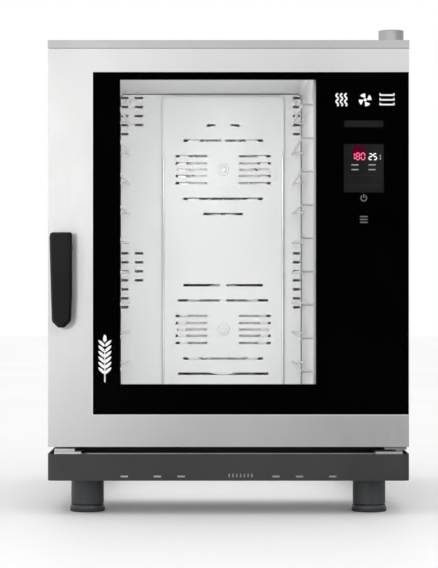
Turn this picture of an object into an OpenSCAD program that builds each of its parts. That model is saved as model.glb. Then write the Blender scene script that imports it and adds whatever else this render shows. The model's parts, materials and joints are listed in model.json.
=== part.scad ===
// Electric combi steamer oven for ten bakery trays, on four levelling feet.
// Row frame: +Z up, the door faces -Y, origin on the floor at the centre of the footprint. Millimetres.
// Inside each module Y counts backwards from the casing's front face; at_casing() moves it to the row frame.

/* [Casing] */
// Width across the side panels
body_w = 760; // [756:1:764]
// Height of the lid's top face above the floor
body_h = 1002; // [1002:1:1006]
// Depth of the casing behind its front face
casing_d = 808; // [808:1:816]
// Height of the folded lid
lid_h = 17; // [15:1:18]
// Thickness of the steel sheets
sheet = 1.5; // [1.2:0.1:1.5]

/* [Base] */
// Height of the feet under the base
foot_h = 73; // [70:1:76]
// Height of the base skirt
base_h = 56; // [54:1:60]
// Open gap between the base and the casing
shadow_gap = 14; // [14:1:18]
// Distance between the foot axes, across the front
foot_pitch = 606; // [590:2:606]

/* [Chamber] */
// Clear width between the chamber walls
cavity_w = 444; // [440:1:446]
// Clear depth in front of the baffle's raised panel
cavity_d = 602; // [601:1:604]
// Right chamber wall, from the centre line
cavity_right = 182; // [180:1:184]
// Thickness of the mineral wool
wool = 30; // [28:1:30]
// Number of tray levels
levels = 10; // [5:1:10]
// Height between two tray levels
level_pitch = 72; // [60:1:74]

/* [Fans] */
// Distance between the two fan axes
fan_pitch = 390; // [380:1:392]
// Radius of a fan wheel
fan_r = 112; // [90:1:116]
// Number of blades on a fan wheel
fan_blades = 12; // [8:1:16]

/* [Door] */
// Thickness of the closed door
door_t = 60; // [60:1:64]
// Left edge of the black glass, from the centre line
glass_left = -286; // [-290:1:-284]
// Thickness of the outer glass
glass_t = 4; // [3.5:0.5:4.5]
// Width of the clear window
window_w = 412; // [380:1:414]
// Height of the clear window
window_h = 641; // [600:1:642]

/* [Handle] */
// Length of the handle paddle
handle_l = 199; // [180:1:216]
// Width of the paddle at its top end
handle_w = 47; // [40:1:50]
// How far the paddle stands out from the door
handle_out = 52; // [48:1:56]

/* [Hidden] */
$fn = 64;

// Running and sliding clearances
run_gap = 0.03;
fit_gap = 0.5;
eps = 1;

// Heights
base_top = foot_h + base_h;
case_z = base_top + shadow_gap;
lid_z = body_h - lid_h;
cavity_z = case_z + wool + 4;
cavity_top = lid_z - wool - 2;

// Widths
half_w = body_w / 2;
skirt_half = half_w + 2;
cavity_left = cavity_right - cavity_w;

// Depths, from the casing's front face
gasket_t = 8;
door_back = -gasket_t;
door_front = door_back - door_t;
baffle_raise = 12;
baffle_y = sheet + cavity_d + baffle_raise;
liner_back = baffle_y + 90;
wool_back = liner_back + sheet + wool;
rear_y = casing_d - sheet;
rear_out = 32;
front_y = (-(door_front - handle_out) - (casing_d + rear_out)) / 2;

// Fans and the baffle's raised panel
fan_x = -10;
fan_mid_z = 572;
fan_z = [fan_mid_z + fan_pitch / 2, fan_mid_z - fan_pitch / 2];
panel_w = 296;
panel_x = fan_x - panel_w / 2;
shaft_r = 8;
fan_y = baffle_y + 18;
fan_t = 56;
ring_r = 142;
ring_wire = 4.5;
ring_pitch = 18;

// Vent and drain
vent_x = 352;
vent_y = 48;
vent_r = 20;
flue_r = 27;
vent_duct_z = 900;
vent_top = body_h + 33;
damper_z = 965;
drain_x = -40;
drain_y = 420;
drain_r = 20;
drain_z = 100;

// Rear services
valve_x = [262, 318];
valve_z = 236;
valve_r = 13.2;
cooling_x = 296;
cooling_z = 716;
cooling_w = 120;
cooling_bore = 56;
cooling_hub = 18;
cooling_axle = 3;
grille_pitch = 9;
grille_half = 2.5;
gland_x = 300;
gland_z = 340;
gland_r = 12.9;
cable_r = 8;

// Door outline and hinge
door_z = case_z + 2;
door_top = lid_z - 1.2;
glass_z = door_z + 67.6;
glass_top = door_top - 49.2;
window_x = glass_left + 58;
window_z = glass_z + 64.4;
print_t = 0.3;
seat_y = door_front + glass_t;
seat_w = 12;
hinge_x = half_w - 18;
hinge_y = door_back - 24;
pin_r = 6;
bush_r = 10;
pane_l = cavity_left + 6;
pane_r = cavity_right + 4;
pane_z = cavity_z + 13;
pane_top = cavity_top - 11;
pane_t = 5;

// Display window, in the middle of the glass at the right of the window
display_x = 285;
display_w = 84;
display_z = 681;
display_h = 102;

// Handle
handle_x = -350;
handle_top = 596;
pivot_z = handle_top - 31;
paddle_t = 22;
spindle_half = 5;
keeper_front = -28;
foot_x = foot_pitch / 2;
foot_y = [30, casing_d - 60];

module at_casing() translate([0, front_y, 0]) children();

module both_sides() {
    children();
    mirror([1, 0, 0]) children();
}

// A box from its lowest corner to its highest corner
module slab(x, y, z) translate([x[0], y[0], z[0]]) cube([x[1] - x[0], y[1] - y[0], z[1] - z[0]]);

// A cylinder along Y, from y0 to y1
module rod_y(x, z, r, y0, y1) translate([x, y1, z]) rotate([90, 0, 0]) cylinder(r = r, h = y1 - y0);

// A cylinder along X, from x0 to x1
module rod_x(y, z, r, x0, x1) translate([x0, y, z]) rotate([0, 90, 0]) cylinder(r = r, h = x1 - x0);

// A rectangle with round corners
module round_rect(w, h, r) {
    translate([r, 0]) square([w - 2 * r, h]);
    translate([0, r]) square([w, h - 2 * r]);
    for (x = [r, w - r], y = [r, h - r]) translate([x, y]) circle(r = r);
}

// A round-cornered block standing on the XZ plane, from y0 to y1
module round_block(x, y, z, r) {
    translate([x[0], y[1], z[0]]) rotate([90, 0, 0])
        linear_extrude(y[1] - y[0]) round_rect(x[1] - x[0], z[1] - z[0], r);
}

// A rectangular ring of flat stock facing -Y
module face_ring(x, z, band, y) {
    difference() {
        slab(x, y, z);
        slab([x[0] + band, x[1] - band], [y[0] - eps, y[1] + eps], [z[0] + band, z[1] - band]);
    }
}

// Casing ----------------------------------------------------------------------------------------

side_z = [case_z, lid_z];
louvre_pitch = 22;
louvre_h = 6;
louvre_w = 130;
side_louvre_z = 300;
side_louvre_y = 330;
side_bank_pitch = 170;
rear_louvre_z = 420;
rear_louvre_x = [-290, -110];
floor_slot_x = [250, 350];
bung_r = 10;
bung_x = 300;
screw_r = 3;
screw_x = half_w - 8;
screw_margin = 40;
screw_rows = [for (i = [0 : 4]) case_z + screw_margin + i * (lid_z - case_z - 2 * screw_margin) / 4];

module side_panel(side) {
    flange = 14;
    outer = side * half_w;
    inner = side * (half_w - sheet);
    bent = side * (half_w - flange);
    slab([min(outer, inner), max(outer, inner)], [0, rear_y], side_z);
    difference() {
        slab([min(bent, inner), max(bent, inner)], [rear_y - sheet, rear_y], [case_z + sheet, lid_z]);
        for (z = screw_rows) rod_y(side * screw_x, z, screw_r, rear_y - sheet - eps, rear_y + eps);
    }
}

module side_panel_left() color("#dcdcdc") at_casing() side_panel(-1);

module side_panel_right() color("#dcdcdc") at_casing() difference() {
    side_panel(1);
    for (row = [0 : 9], bank = [0, 1])
        translate([half_w, side_louvre_y + bank * side_bank_pitch, side_louvre_z + row * louvre_pitch])
            slab([-20, eps], [0, louvre_w + 10], [0, louvre_h]);
}

module rear_panel() color("#d0d0d0") at_casing() difference() {
    slab([-half_w, half_w], [rear_y, casing_d], side_z);
    for (x = valve_x) rod_y(x, valve_z, valve_r + 0.8, rear_y - eps, casing_d + eps);
    rod_y(gland_x, gland_z, gland_r + 0.1, rear_y - eps, casing_d + eps);
    intersection() {
        rod_y(cooling_x, cooling_z, cooling_bore - 4, rear_y - eps, casing_d + eps);
        for (i = [-5 : 5])
            slab([cooling_x - cooling_w / 2, cooling_x + cooling_w / 2], [rear_y - eps, casing_d + eps],
                [cooling_z + i * grille_pitch - grille_half, cooling_z + i * grille_pitch + grille_half]);
    }
    for (row = [0 : 7], x = rear_louvre_x) translate([x, 0, rear_louvre_z + row * louvre_pitch])
        slab([0, louvre_w], [rear_y - eps, casing_d + eps], [0, louvre_h]);
    for (side = [-1, 1], z = screw_rows) rod_y(side * screw_x, z, screw_r, rear_y - eps, casing_d + eps);
}

lid_front = door_front + 3;

module lid() color("#c0c0c0") at_casing() {
    over = 1;
    x = [-half_w - over, half_w + over];
    difference() {
        slab(x, [lid_front, casing_d + over], [lid_z, body_h]);
        slab([x[0] + sheet, x[1] - sheet], [lid_front + sheet, casing_d + over - sheet],
            [lid_z + sheet, body_h - sheet]);
        slab([x[0] + sheet, x[1] - sheet], [sheet, casing_d + over - sheet], [lid_z - eps, body_h - sheet]);
        translate([hinge_x, hinge_y, lid_z - eps]) cylinder(r = pin_r + fit_gap, h = 4);
        translate([vent_x, vent_y, body_h - 5]) cylinder(r = vent_r + 1.5, h = 10);
    }
}

module bottom_plate() color("#c8c8c8") at_casing() difference() {
    slab([-half_w + sheet, half_w - sheet], [0, rear_y], [case_z, case_z + sheet]);
    translate([drain_x, drain_y, case_z - eps]) cylinder(r = drain_r + 2, h = 5);
    for (row = [0 : 5])
        translate([0, 300 + row * louvre_pitch, case_z]) slab(floor_slot_x, [0, louvre_h + 2], [-eps, 5]);
}

module front_frame() color("#d8d8d8") at_casing() difference() {
    slab([-half_w + sheet, half_w - sheet], [0, sheet], [case_z + sheet, lid_z]);
    round_block([cavity_left, cavity_right], [-eps, sheet + eps], [cavity_z, cavity_top], corner_r);
    for (z = [260, 560, 860]) rod_y(bung_x, z, bung_r, -eps, sheet + eps);
}

module casing_screws() color("#b0b0b0") at_casing() {
    for (side = [-1, 1], z = screw_rows) {
        rod_y(side * screw_x, z, screw_r + 2.5, casing_d, casing_d + 2.5);
        rod_y(side * screw_x, z, screw_r - 0.1, rear_y - 8, casing_d + eps);
    }
}

// Base and feet ---------------------------------------------------------------------------------

rail = 30;
frame_half = 345;
frame_y = [0, casing_d - 20];
spacer_half = 311;

module base_frame() color("#303234") at_casing() {
    difference() {
        union() {
            both_sides() {
                slab([frame_half - 2 * rail, frame_half], frame_y, [base_top - rail, base_top]);
                slab([spacer_half - rail, spacer_half], [40, frame_y[1]], [base_top - eps, case_z]);
            }
            for (y = [frame_y[0], frame_y[1] - rail])
                slab([-frame_half, frame_half], [y, y + rail], [base_top - rail, base_top]);
            slab([-spacer_half, spacer_half], [40, 40 + rail], [base_top - eps, case_z]);
        }
        rod_y(drain_x, drain_z, drain_r + 3, frame_y[1] - rail - eps, frame_y[1] + eps);
        for (x = [-foot_x, foot_x], y = foot_y)
            translate([x, y, base_top - rail - eps]) cylinder(r = 7, h = rail - 6);
    }
}

skirt_t = 3;
skirt_y = [door_front + 8, casing_d - 10];
skirt_r = 14;
skirt_slot_x = [-220, -150, -100, 100, 150, 220];
skirt_slot_w = 16;
skirt_slot_z = foot_h + 7;

module base_skirt() color("#404346") at_casing() difference() {
    round_tray(skirt_half, skirt_y, skirt_r, base_h);
    translate([0, 0, -eps])
        round_tray(skirt_half - skirt_t, [skirt_y[0] + skirt_t, skirt_y[1] - skirt_t], skirt_r - skirt_t,
            base_h + 2 * eps);
    cut_y = [skirt_y[0] - eps, skirt_y[0] + skirt_t + eps];
    for (x = skirt_slot_x)
        slab([x - skirt_slot_w / 2, x + skirt_slot_w / 2], cut_y, [skirt_slot_z, skirt_slot_z + 4]);
    for (i = [0 : 6]) slab([i * 8, i * 8 + 3], cut_y, [skirt_slot_z, skirt_slot_z + 8]);
    rod_y(drain_x, drain_z, drain_r + 3, skirt_y[1] - 8, skirt_y[1] + eps);
}

module round_tray(half, y, r, h)
    translate([-half, y[0], foot_h]) linear_extrude(h) round_rect(2 * half, y[1] - y[0], r);

// A tray behind the skirt for drips from the door: an apron in front, raised ends, a ledge along each side
// and a pad on the left that the door's lower corner passes over
module drip_tray() color("#b4b6b8") at_casing() {
    wall = 2;
    tray_half = 368;
    y = [skirt_y[0] + skirt_t + fit_gap, -4];
    z = [base_top - 10, base_top - 2];
    difference() {
        slab([-tray_half, tray_half], y, z);
        slab([wall - tray_half, tray_half - wall], [y[0] + wall, y[1] - wall], [z[0] + wall, base_top]);
    }
    slab([-tray_half, tray_half], [y[0], y[0] + wall], [foot_h + 4, z[0] + eps]);
    both_sides() slab([spacer_half, tray_half], y, [z[1] - eps, base_top + 5]);
    slab([-tray_half, 20 - frame_half], [-50, y[1]], [base_top + 4, case_z - 3]);
    both_sides() slab([frame_half + 2, tray_half], [y[1] - eps, frame_y[1]], [z[1] - wall, z[1]]);
}

socket_r = 35;
stem_r = 29;
socket_z = 16;
pad_r = 37;
pad_t = 8;

module foot_sockets() color("#2c2e30") at_casing() for (x = [-foot_x, foot_x], y = foot_y)
    translate([x, y, 0]) difference() {
        translate([0, 0, socket_z]) cylinder(r = socket_r, h = base_top - rail - socket_z);
        translate([0, 0, socket_z - eps]) cylinder(r = stem_r + run_gap, h = base_top - rail - socket_z - 3);
    }

module foot(x, y) color("#484b4e") at_casing() translate([x, y, 0]) {
    cylinder(r = pad_r, h = pad_t);
    translate([0, 0, pad_t]) cylinder(r1 = pad_r, r2 = socket_r, h = socket_z - pad_t - eps);
    cylinder(r = stem_r, h = base_top - rail - 12);
}

module foot_front_left() foot(-foot_x, foot_y[0]);
module foot_front_right() foot(foot_x, foot_y[0]);
module foot_rear_left() foot(-foot_x, foot_y[1]);
module foot_rear_right() foot(foot_x, foot_y[1]);

// Chamber ---------------------------------------------------------------------------------------

corner_r = 12;
leg_reach = 40;
leg_x = [fan_x - leg_reach, fan_x + leg_reach];
leg_rise = sqrt(ring_r * ring_r - leg_reach * leg_reach);

// The chamber, open at the front, pierced for shafts, heater legs, water, drain and vent
module cavity_liner() color("#d6d8da") at_casing() difference() {
    round_block([cavity_left - sheet, cavity_right + sheet], [sheet, liner_back + sheet],
        [cavity_z - sheet, cavity_top + sheet], corner_r + sheet);
    round_block([cavity_left, cavity_right], [sheet - eps, liner_back], [cavity_z, cavity_top], corner_r);
    for (z = fan_z) rod_y(fan_x, z, shaft_r + 2, liner_back - eps, liner_back + 5);
    for (z = fan_z, x = leg_x) rod_y(x, z + leg_rise, ring_wire + 1, liner_back - eps, liner_back + 5);
    rod_y(fan_x, fan_mid_z, 5, liner_back - eps, liner_back + 5);
    translate([drain_x, drain_y, cavity_z - 5]) cylinder(r = drain_r - 2, h = 10);
    rod_x(vent_y, vent_duct_z, vent_r - 2, cavity_right - eps, cavity_right + 5);
}

module insulation() color("#d9c98a") at_casing() difference() {
    slab([cavity_left - sheet - wool, cavity_right + sheet + wool], [sheet, wool_back],
        [cavity_z - sheet - wool, cavity_top + sheet + wool]);
    round_block([cavity_left - sheet, cavity_right + sheet], [sheet - eps, liner_back + sheet],
        [cavity_z - sheet, cavity_top + sheet], corner_r + sheet);
    for (z = fan_z) rod_y(fan_x, z, shaft_r + 6, liner_back, wool_back + eps);
    for (z = fan_z, x = leg_x) rod_y(x, z + leg_rise, wall_hole, liner_back, wool_back + eps);
    rod_y(fan_x, fan_mid_z, wall_hole, liner_back, wool_back + eps);
    translate([drain_x, drain_y, case_z]) cylinder(r = drain_r + 1, h = wool + 3);
    rod_x(vent_y, vent_duct_z, vent_r + 1, cavity_right + 1, cavity_right + wool + 3);
}

module door_gasket() color("#2e2e2e") at_casing() difference() {
    out = 20;
    inner = 6;
    round_block([cavity_left - out, cavity_right + out], [door_back + 0.4, 0],
        [cavity_z - out, cavity_top + out], 30);
    round_block([cavity_left - inner, cavity_right + inner], [door_back - eps, eps],
        [cavity_z - inner, cavity_top + inner], 16);
    round_block([cavity_left - 15, cavity_right + 15], [door_back - eps, -5.2],
        [cavity_z - 15, cavity_top + 15], 25);
}

// One row of intake slots: its height above the fan axis, and its start and end either side of the axis
upper_rows = [[108, 18, 40], [71, 5, 97], [33, 39, 116], [15.5, 39, 116], [0, 39, 112], [-15.5, 39, 116],
    [-33, 39, 116], [-71, 0, 97], [-108, 0, 48]];
lower_rows = [[108, 8, 97], [71, 8, 110], [33, 39, 116], [15.5, 39, 116], [0, 39, 112], [-15.5, 39, 116],
    [-33, 39, 116], [-71, 0, 97], [-108, 0, 110]];
slot_h = 6;
panel_y = baffle_y - baffle_raise;
panel_z = [cavity_z + 16, cavity_top - 8];
panel_r = 14;
flank_x = [[-259, -242], [161, 178]];
inner_flank_x = [-226, -206];
flank_z = [431, 855];
knob_inset = 20;
knob_hole = 4;

module slot(x, z) {
    slab(x, [panel_y - eps, baffle_y + 3], [z - slot_h / 2, z + slot_h / 2]);
}

module fan_baffle() color("#dadcde") at_casing() difference() {
    union() {
        round_block([cavity_left + 2, cavity_right - 2], [baffle_y, baffle_y + sheet],
            [cavity_z + 2, cavity_top - 2], 10);
        round_block([panel_x, panel_x + panel_w], [panel_y, baffle_y + eps / 2], panel_z, panel_r);
    }
    round_block([panel_x + sheet, panel_x + panel_w - sheet], [panel_y + sheet, baffle_y + sheet + eps],
        [panel_z[0] + sheet, panel_z[1] - sheet], panel_r - sheet);
    for (row = upper_rows, side = [-1, 1])
        slot([min(side * row[1], side * row[2]) + fan_x, max(side * row[1], side * row[2]) + fan_x],
            fan_z[0] + row[0]);
    for (row = lower_rows, side = [-1, 1])
        slot([min(side * row[1], side * row[2]) + fan_x, max(side * row[1], side * row[2]) + fan_x],
            fan_z[1] + row[0]);
    for (x = flank_x) {
        for (i = [0 : 6]) slot(x, flank_z[0] + i * louvre_pitch);
        for (i = [0 : 4]) slot(x, flank_z[1] + i * louvre_pitch);
    }
    for (i = [3 : 6]) slot(inner_flank_x, flank_z[0] + i * louvre_pitch);
    for (i = [1 : 4]) slot(inner_flank_x, flank_z[1] + i * louvre_pitch);
    for (z = fan_z) rod_y(fan_x, z, knob_hole, panel_y - eps, baffle_y);
    for (x = [cavity_left + knob_inset, cavity_right - knob_inset],
        z = [cavity_z + knob_inset, cavity_top - knob_inset])
        rod_y(x, z, knob_hole, baffle_y - eps, baffle_y + 3);
}

module knob(x, z, y, r) {
    rod_y(x, z, r, y - 5, y);
    rod_y(x, z, r * 0.55, y - 9, y - 5);
    rod_y(x, z, knob_hole - 0.2, y - 0.1, y + 6);
}

module baffle_knobs() color("#9a9c9e") at_casing() {
    for (z = fan_z) knob(fan_x, z, panel_y, 14);
    for (x = [cavity_left + knob_inset, cavity_right - knob_inset],
        z = [cavity_z + knob_inset, cavity_top - knob_inset])
        knob(x, z, baffle_y, 8);
}

rack_y = [24, 590];
rail_r = 3;
rail_reach = 23.5;
first_level = 50;

// One tray rail: a round bar held off the wall by two short legs
module runner() {
    rod_y(rail_reach, 0, rail_r, rack_y[0], rack_y[1]);
    for (y = [rack_y[0] + 12, rack_y[1] - 60]) rod_x(y, 0, rail_r - 0.4, 0, rail_reach);
}

module tray_runners() color("#ccced0") at_casing() for (i = [0 : levels - 1]) {
    z = cavity_z + first_level + i * level_pitch;
    translate([cavity_left, 0, z]) runner();
    translate([cavity_right, 0, z]) mirror([1, 0, 0]) runner();
}

// Fans, heaters and steam -----------------------------------------------------------------------

module motor_plate() color("#a8aaac") at_casing() difference() {
    slab([fan_x - 150, fan_x + 150], [wool_back, wool_back + plate_t], [fan_z[1] - 150, fan_z[0] + 155]);
    for (z = fan_z) rod_y(fan_x, z, shaft_r + 4, wool_back - eps, motor_y + eps);
    for (z = fan_z, x = leg_x) rod_y(x, z + leg_rise, wall_hole, wool_back - eps, motor_y + eps);
    rod_y(fan_x, fan_mid_z, wall_hole, wool_back - eps, motor_y + eps);
}

plate_t = 3;
wall_hole = 8;
motor_y = wool_back + plate_t;
motor_end = rear_y - 8;
motor_r = 52;
terminal_x = [fan_x + 30, fan_x + 70];
bore_depth = 38;

// Two motors, each with a square flange and a terminal box on its right
module fan_motors() color("#6c7074") at_casing() for (z = fan_z) difference() {
    flange = motor_r + 3;
    union() {
        slab([fan_x - flange, fan_x + flange], [motor_y, motor_y + 6], [z - flange, z + flange]);
        rod_y(fan_x, z, motor_r, motor_y, motor_end);
        slab(terminal_x, [motor_y + 16, motor_end - 8], [z - 20, z + 20]);
    }
    rod_y(fan_x, z, shaft_r + run_gap, motor_y - eps, motor_y + bore_depth);
}

hub_r = 24;
blade_half = 20;
blade_tilt = 35;
shroud = 20;

// A radial wheel: back disc, hub, tilted blades and an open front ring
module fan(z) color("#b8babc") at_casing() translate([fan_x, fan_y, z]) difference() {
    union() {
        rod_y(0, 0, fan_r, fan_t - 2, fan_t);
        rod_y(0, 0, hub_r, 12, fan_t - 1);
        for (i = [0 : fan_blades - 1]) rotate([0, i * 360 / fan_blades, 0])
            translate([fan_r - blade_half - 4, 0, 0]) rotate([0, blade_tilt, 0])
                slab([-blade_half, blade_half], [2, fan_t - 1], [-1, 1]);
        difference() {
            rod_y(0, 0, fan_r, 1, 3);
            rod_y(0, 0, fan_r - shroud, 0, 4);
        }
    }
    rod_y(0, 0, shaft_r + 0.02, -eps, fan_t + eps);
}

module fan_upper() fan(fan_z[0]);
module fan_lower() fan(fan_z[1]);

module shaft(z) color("#8c9094") at_casing() {
    rod_y(fan_x, z, shaft_r, fan_y + 6, motor_y + bore_depth - 1);
    rod_y(fan_x, z, shaft_r + 5, fan_y + 6, fan_y + 11.9);
}

module shaft_upper() shaft(fan_z[0]);
module shaft_lower() shaft(fan_z[1]);

module ring_heaters() color("#5c5650") at_casing() for (z = fan_z) {
    for (i = [0 : 2]) translate([fan_x, fan_y + 10 + i * ring_pitch, z]) rotate([90, 0, 0]) rotate_extrude()
        translate([ring_r, 0]) circle(r = ring_wire);
    for (x = leg_x) rod_y(x, z + leg_rise, 3.5, fan_y + 8, wool_back + 12);
}

module water_pipe() color("#b4b6b8") at_casing() difference() {
    y = baffle_y + 9;
    union() {
        translate([fan_x, y, fan_z[1]]) cylinder(r = 4, h = fan_pitch);
        rod_y(fan_x, fan_mid_z, 3.6, y, rear_y - 20);
        rod_y(fan_x, fan_mid_z, 9, motor_y, motor_y + 12);
    }
    translate([fan_x, y, fan_z[1] - eps]) cylinder(r = 2.8, h = fan_pitch + 2 * eps);
    rod_y(fan_x, fan_mid_z, 2.4, y, rear_y - 19);
}

// Two inlet valves: block, coil, inner hose tail, and a threaded spigot with its nut outside the back
module water_valves() color("#d8d8d4") at_casing() for (x = valve_x) difference() {
    block = 18;
    union() {
        slab([x - block, x + block], [rear_y - 40, rear_y], [valve_z - block, valve_z + block]);
        rod_y(x, valve_z, valve_r + 0.5, rear_y - eps, casing_d);
        rod_y(x, valve_z, valve_r + 4, casing_d, casing_d + 4);
        rod_y(x, valve_z, valve_r, casing_d + 3, casing_d + 26);
        translate([x, rear_y - 22, valve_z + block - eps]) cylinder(r = block - 3, h = 34);
        rod_y(x, valve_z, 6, rear_y - 58, rear_y - 39);
    }
    rod_y(x, valve_z, 9, casing_d, casing_d + 27);
}

// A standing pipe from the chamber floor into a lying sump, which leaves through the back as a spigot
module drain_pipe() color("#a4a6a8") at_casing() difference() {
    wall = 2;
    sump_r = drain_r + 1;
    union() {
        translate([drain_x, drain_y, drain_z]) cylinder(r = drain_r, h = cavity_z - sheet - drain_z);
        rod_y(drain_x, drain_z, sump_r, drain_y - 28, casing_d);
        rod_y(drain_x, drain_z, drain_r, casing_d - eps, casing_d + rear_out);
    }
    translate([drain_x, drain_y, drain_z]) cylinder(r = drain_r - wall, h = cavity_z);
    rod_y(drain_x, drain_z, drain_r - wall, drain_y - 26, casing_d + rear_out + eps);
}

module drain_strainer() color("#b0b2b4") at_casing() translate([drain_x, drain_y, cavity_z]) difference() {
    cylinder(r = 32, h = 2);
    for (i = [0 : 5]) rotate([0, 0, i * 60]) translate([11, 0, -eps]) cylinder(r = 3, h = 4);
    translate([0, 0, -eps]) cylinder(r = 3, h = 4);
}

// Vent ------------------------------------------------------------------------------------------

vent_wall = 2;
damper_rod = 3;

module vent_duct() color("#b8babc") at_casing() difference() {
    union() {
        rod_x(vent_y, vent_duct_z, vent_r, cavity_right + sheet, vent_x);
        translate([vent_x, vent_y, vent_duct_z - 26])
            cylinder(r = vent_r + 1, h = body_h - vent_duct_z + 26);
    }
    rod_x(vent_y, vent_duct_z, vent_r - vent_wall, cavity_right, vent_x);
    translate([vent_x, vent_y, vent_duct_z - 24]) cylinder(r = vent_r - 1, h = body_h);
    rod_y(vent_x, damper_z, damper_rod + run_gap, vent_y - 40, vent_y + 40);
}

module vent_flue() color("#9c9ea0") at_casing() translate([vent_x, vent_y, body_h]) difference() {
    union() {
        cylinder(r = flue_r + 1.5, h = 3);
        cylinder(r = flue_r, h = vent_top - body_h);
    }
    translate([0, 0, -eps]) cylinder(r = flue_r - vent_wall, h = 60);
}

module vent_damper() color("#8a8c8e") at_casing() {
    rod_y(vent_x, damper_z, damper_rod, vent_y - 30, vent_y + 34);
    translate([vent_x, vent_y, damper_z]) rotate([0, 90, 0])
        cylinder(r = vent_r - 2.5, h = 2, center = true);
}

module damper_motor() color("#3c4044") at_casing() difference() {
    slab([vent_x - 16, vent_x + 24], [vent_y + 26, vent_y + 56], [damper_z - 26, damper_z + 16]);
    rod_y(vent_x, damper_z, damper_rod + run_gap, vent_y + 25, vent_y + 36);
}

// Rear services and electronics -----------------------------------------------------------------

module cooling_fan_frame() color("#26282a") at_casing() {
    y = [rear_y - 25, rear_y];
    difference() {
        slab([cooling_x - cooling_w / 2, cooling_x + cooling_w / 2], y,
            [cooling_z - cooling_w / 2, cooling_z + cooling_w / 2]);
        rod_y(cooling_x, cooling_z, cooling_bore, y[0] - eps, y[1] + eps);
    }
    rod_y(cooling_x, cooling_z, cooling_hub, y[1] - 3, y[1]);
    rod_y(cooling_x, cooling_z, cooling_axle, y[0] + 4, y[1] - 2);
    for (i = [0 : 2]) translate([cooling_x, 0, cooling_z]) rotate([0, i * 120 + 30, 0])
        slab([cooling_hub - 2, cooling_bore + 1], [y[1] - 3, y[1]], [-3, 3]);
}

module cooling_fan_rotor() color("#34373a") at_casing() difference() {
    y = [rear_y - 23, rear_y - 5];
    union() {
        rod_y(cooling_x, cooling_z, cooling_hub, y[0], y[1]);
        for (i = [0 : 6]) translate([cooling_x, (y[0] + y[1]) / 2, cooling_z]) rotate([0, i * 360 / 7, 0])
            rotate([38, 0, 0]) slab([cooling_hub - 2, cooling_bore - 4], [-0.8, 0.8], [-10, 10]);
    }
    rod_y(cooling_x, cooling_z, cooling_axle + run_gap, y[0] - eps, y[1] + eps);
}

// The power board on four posts, with relays, capacitors and a terminal strip
module power_board() color("#2f6b3c") at_casing() {
    x = 340;
    y = [60, 300];
    z = [420, 800];
    edge = 12;
    slab([x, x + 2], y, z);
    for (py = [y[0] + edge, y[1] - edge], pz = [z[0] + edge, z[1] - edge])
        rod_x(py, pz, 4, x + 1, half_w - sheet);
    for (i = [0 : 5]) slab([x - 18, x + eps], [90, 120], [450 + i * 46, 480 + i * 46]);
    for (i = [0 : 3]) rod_x(170, 460 + i * 40, 12, x - 30, x + eps);
    slab([x - 14, x + eps], [220, 240], [450, 760]);
}

module cable_gland() color("#303234") at_casing() {
    rod_y(gland_x, gland_z, gland_r, rear_y - 10, casing_d + eps);
    rod_y(gland_x, gland_z, gland_r + 4.1, casing_d, casing_d + 8);
    rod_y(gland_x, gland_z, gland_r + 1.1, casing_d + 7, casing_d + 18);
    rod_y(gland_x, gland_z, cable_r, rear_y - 40, casing_d + 28);
}

// Hinges and latch ------------------------------------------------------------------------------

bracket_t = 5;
pin_head_r = 9;
pin_head_h = 3;
pin_reach = 20;
bush_h = 22;
bush_flange_r = 13;
cable_bore = 3;

// A plate that carries a hinge pin, reaching back from the door to the given depth
module hinge_plate(z, back) difference() {
    slab([hinge_x - 32, half_w - 3], [hinge_y - 18, back], [z, z + bracket_t]);
    translate([hinge_x, hinge_y, z - eps]) cylinder(r = pin_r + 0.02, h = bracket_t + 2 * eps);
}

module hinge_brackets() color("#8e9194") at_casing() {
    hinge_plate(case_z - bracket_t, 60);
    hinge_plate(lid_z + sheet, 20);
}

module hinge_pins() color("#74777a") at_casing() translate([hinge_x, hinge_y, 0]) difference() {
    union() {
        translate([0, 0, case_z - bracket_t - pin_head_h]) cylinder(r = pin_head_r, h = pin_head_h);
        translate([0, 0, case_z - bracket_t]) cylinder(r = pin_r, h = bracket_t + pin_reach);
        translate([0, 0, door_top - 18]) cylinder(r = pin_r, h = pin_reach + sheet + bracket_t);
        translate([0, 0, lid_z + sheet + bracket_t]) cylinder(r = pin_head_r, h = pin_head_h);
    }
    translate([0, 0, case_z - pin_reach]) cylinder(r = cable_bore, h = 3 * pin_reach);
}

module hinge_bushes() color("#b58a3c") at_casing() translate([hinge_x, hinge_y, 0]) difference() {
    union() {
        translate([0, 0, case_z + 0.1]) cylinder(r = bush_flange_r, h = door_z - case_z - 0.1);
        translate([0, 0, door_z]) cylinder(r = bush_r, h = bush_h);
        translate([0, 0, door_top - bush_h]) cylinder(r = bush_r, h = bush_h);
        translate([0, 0, door_top]) cylinder(r = bush_flange_r, h = 0.8);
    }
    translate([0, 0, case_z]) cylinder(r = pin_r + run_gap, h = lid_z - case_z);
}

keeper_z = [pivot_z - 26, pivot_z + 26];
keeper_w = 32;
arm_t = 4;

// A plate on the front frame with two arms that hold an upright bar for the latch
module latch_keeper() color("#a2a4a6") at_casing() {
    slab([handle_x - keeper_w / 2, handle_x + keeper_w / 2], [-3, 0], [keeper_z[0] - 8, keeper_z[1] + 8]);
    for (z = [keeper_z[0], keeper_z[1] - arm_t])
        slab([handle_x - 9, handle_x + 9], [keeper_front, -2], [z, z + arm_t]);
    translate([handle_x, keeper_front + 6, keeper_z[0]]) cylinder(r = 4, h = keeper_z[1] - keeper_z[0]);
}

// Door ------------------------------------------------------------------------------------------

skin_back = door_back - 12;

module door_ring(y) difference() {
    slab([-half_w, half_w], y, [door_z, door_top]);
    slab([-half_w + sheet, half_w - sheet], [y[0] - eps, y[1] + eps], [door_z + sheet, door_top - sheet]);
}

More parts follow.
